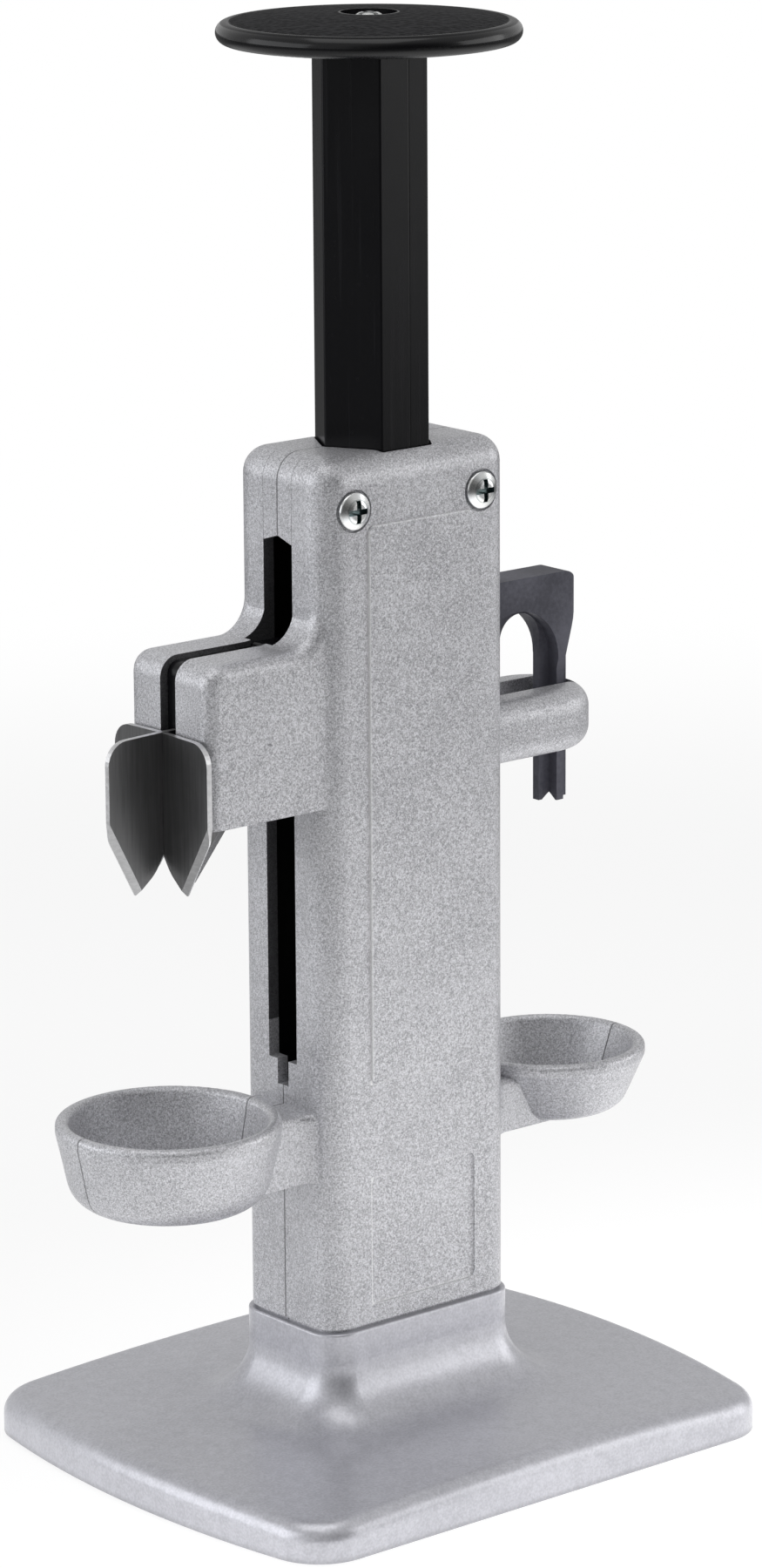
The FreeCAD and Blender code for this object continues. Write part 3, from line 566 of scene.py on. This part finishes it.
def long_blade():
    outer = wing(SIDE_REACH, -1)
    inner = wing(SIDE_REACH, 1)[2:][::-1]
    corners = [(-SLIT, CREST + 0.1, 0)] + outer + [
        (-SLIT, NOTCH - 0.4, 0),
        (-SLIT, LAP, 0),
        (SLIT, LAP, 0),
        (SLIT, NOTCH - 0.4, 0),
    ] + inner + [
        (TAIL_START, TAIL_BOTTOM, 0.5),
        (TAIL_END, TAIL_BOTTOM, 0.6),
        (TAIL_END, CREST + 0.1, 1.0),
    ]
    ground = [((-SIDE_REACH, HEEL), (-TIP_REACH, TIP)), ((TAIL_START, TAIL_BOTTOM), (TIP_REACH, TIP))]
    bm = grind(corners, ground, tail_bottom=TAIL_BOTTOM)
    bmesh.ops.translate(bm, verts=bm.verts, vec=(blade_x, 0, 0))
    made = piece("long_blade", bm, blade_finishes, "plunger")
    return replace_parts(made, "blade_plate")


def cross_blade():
    left = wing(CROSS_REACH, -1)
    right = wing(CROSS_REACH, 1)[::-1]
    corners = [(-SLIT, CREST, 0)] + left + [(0, NOTCH, 0.4)] + right + [
        (SLIT, CREST, 0),
        (SLIT, LAP, 0),
        (-SLIT, LAP, 0),
    ]
    ground = [((side * CROSS_REACH, HEEL), (side * TIP_REACH, TIP)) for side in (-1, 1)]
    bm = grind(corners, ground)
    bmesh.ops.rotate(bm, verts=bm.verts, cent=(0, 0, 0), matrix=Matrix.Rotation(math.radians(90), 3, "Z"))
    bmesh.ops.translate(bm, verts=bm.verts, vec=(blade_x, 0, 0))
    made = piece("cross_blade", bm, blade_finishes, "plunger")
    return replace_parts(made, "blade_cross_plate")


long_blade()
cross_blade()

# %% [markdown]
# The object stands on a sheet of white paper in a dim room. The paper lights the object's lower parts from
# below, and the room beyond it is what the black plastic and the blades mirror. A patch of the paper just
# in front glows, as under a low lamp, because the front of the column is brightest near its foot. The
# camera sees plain white all over: a share of white glow is added for it, all of it far out and less near
# the object, where the paper keeps the shadow.

# %% Floor
FLOOR_RADIUS = 6.0
PAPER_EDGE = (0.30, 0.80)
PATCH_PLACE = (0.06, -0.16)
PATCH_EDGE = (0.10, 0.34)
PATCH_GLOW = 0.7
WHITE_NEAR = 0.78


def white_floor():
    bm = bmesh.new()
    bmesh.ops.create_circle(bm, cap_ends=True, radius=FLOOR_RADIUS, segments=96)
    mesh = bpy.data.meshes.new("floor")
    bm.to_mesh(mesh)
    bm.free()
    floor = bpy.data.objects.new("floor", mesh)
    bpy.context.scene.collection.objects.link(floor)
    finish = Finish("floor_white", Roughness=0.9, Specular_IOR_Level=0.1)
    x = finish.axis("X")
    y = finish.axis("Y")
    far = finish.ramp((x * x + y * y) ** 0.5, *PAPER_EDGE)
    finish.feed("Base Color", finish.blend(far, grey(0.86), grey(0.16)))
    seen = finish.add("ShaderNodeLightPath", output="Is Camera Ray")
    glow = finish.add("ShaderNodeEmission", None, {"Color": grey(1.0), "Strength": 1.0})
    finish.shader.inputs["Emission Strength"].default_value = PATCH_GLOW
    east = x - PATCH_PLACE[0]
    north = y - PATCH_PLACE[1]
    patch = 1 - finish.ramp((east * east + north * north) ** 0.5, *PATCH_EDGE)
    finish.feed("Emission Color", finish.blend(patch, grey(0.0), grey(1.0)))
    plain = Wire(finish, finish.shader.outputs[0])
    share = seen * (WHITE_NEAR + far * (1 - WHITE_NEAR))
    both = finish.add("ShaderNodeMixShader", None, {0: share, 1: plain, 2: glow})
    finish.tree.links.new(both.socket, finish.tree.nodes["Material Output"].inputs["Surface"])
    mesh.materials.append(finish.material)
    print("floor radius", FLOOR_RADIUS, "m")


white_floor()

# %% [markdown]
# A photographer would put this object in a tent of white cloth with a dark gap in front. The gap is why the
# bend between the column's left and front faces is the darkest band on it. The world does the same: white
# to the camera, and for light and reflections a soft grey that is darkest in front. Lamps stand for the
# windows of the tent.

# %% World and lamps
gap_side = Vector((-0.18, -0.98, 0.0)).normalized()
GAP_EDGE = (0.55, 0.98)
TENT_LEVEL = 0.60
GAP_LEVEL = 0.06


def tent():
    world = bpy.data.worlds.new("tent")
    bpy.context.scene.world = world
    world.use_nodes = True
    tree = world.node_tree
    tree.nodes.clear()

    def add(kind, settings=None, inputs=None):
        node = tree.nodes.new(kind)
        for name, value in (settings or {}).items():
            setattr(node, name, value)
        for name, value in (inputs or {}).items():
            if isinstance(value, bpy.types.NodeSocket):
                tree.links.new(value, node.inputs[name])
            else:
                node.inputs[name].default_value = value
        return node

    way = add("ShaderNodeTexCoord").outputs["Generated"]
    facing = add("ShaderNodeVectorMath", {"operation": "DOT_PRODUCT"}, {0: way, 1: gap_side}).outputs["Value"]
    level = add("ShaderNodeMapRange", {"interpolation_type": "SMOOTHSTEP"},
                {"Value": facing, "From Min": GAP_EDGE[0], "From Max": GAP_EDGE[1],
                 "To Min": TENT_LEVEL, "To Max": GAP_LEVEL}).outputs[0]
    seen = add("ShaderNodeLightPath").outputs["Is Camera Ray"]
    tent_light = add("ShaderNodeBackground", None, {"Color": (1.0, 1.0, 1.0, 1.0), "Strength": level})
    white = add("ShaderNodeBackground", None, {"Color": (1.0, 1.0, 1.0, 1.0), "Strength": 1.0})
    both = add("ShaderNodeMixShader", None, {0: seen, 1: tent_light.outputs[0], 2: white.outputs[0]})
    out = add("ShaderNodeOutputWorld")
    tree.links.new(both.outputs[0], out.inputs["Surface"])


def lamp(name, place, aim, width, height, power, tint=(1.0, 1.0, 1.0)):
    light = bpy.data.lights.new(name, "AREA")
    light.shape = "RECTANGLE"
    light.size = width
    light.size_y = height
    light.energy = power
    light.color = tint
    made = bpy.data.objects.new(name, light)
    made.location = place
    made.rotation_euler = (Vector(aim) - Vector(place)).to_track_quat("-Z", "Y").to_euler()
    bpy.context.scene.collection.objects.link(made)
    print(name, power, "W")


tent()
lamp("lamp_over", (-0.15, -0.10, 1.25), (0, 0, 0.1), 0.9, 0.9, 3.3)
lamp("lamp_left", (-1.25, 0.55, 0.45), (0, 0, 0.12), 1.4, 1.1, 7.4, (0.96, 0.975, 1.0))
lamp("lamp_right", (1.15, -0.75, 0.40), (0, 0, 0.06), 1.2, 0.9, 5.2)

# %% [markdown]
# The camera stands where the photographer's did: well back, a long lens, turned a little to the left and
# looking down by fourteen degrees. Its place and lens come from fitting the column's and the foot's edges
# in the picture.

# %% Camera
CAMERA_TURN = (39.7453, 14.0974, -0.3695)
CAMERA_PLACE = (-0.717135, -0.864575, 0.419625)
LENS = 132.397
SENSOR_HEIGHT = 36.0


def photographer():
    yaw, pitch, roll = (math.radians(angle) for angle in CAMERA_TURN)
    ahead = Vector((math.sin(yaw) * math.cos(pitch), math.cos(yaw) * math.cos(pitch), -math.sin(pitch)))
    right = Vector((math.cos(yaw), -math.sin(yaw), 0.0))
    up = right.cross(ahead)
    turned_right = right * math.cos(roll) + up * math.sin(roll)
    turned_up = up * math.cos(roll) - right * math.sin(roll)
    lens = bpy.data.cameras.new("camera")
    lens.sensor_fit = "VERTICAL"
    lens.sensor_height = SENSOR_HEIGHT
    lens.lens = LENS
    lens.clip_end = 50.0
    made = bpy.data.objects.new("camera", lens)
    bpy.context.scene.collection.objects.link(made)
    turn = Matrix((turned_right, turned_up, -ahead)).transposed().to_4x4()
    place = Vector(CAMERA_PLACE) + Vector((axis_x, 0.0, 0.0))
    made.matrix_world = Matrix.Translation(place) @ turn
    bpy.context.scene.camera = made
    print("camera at", [round(v, 3) for v in place])


photographer()
bpy.context.scene.view_settings.view_transform = "Standard"
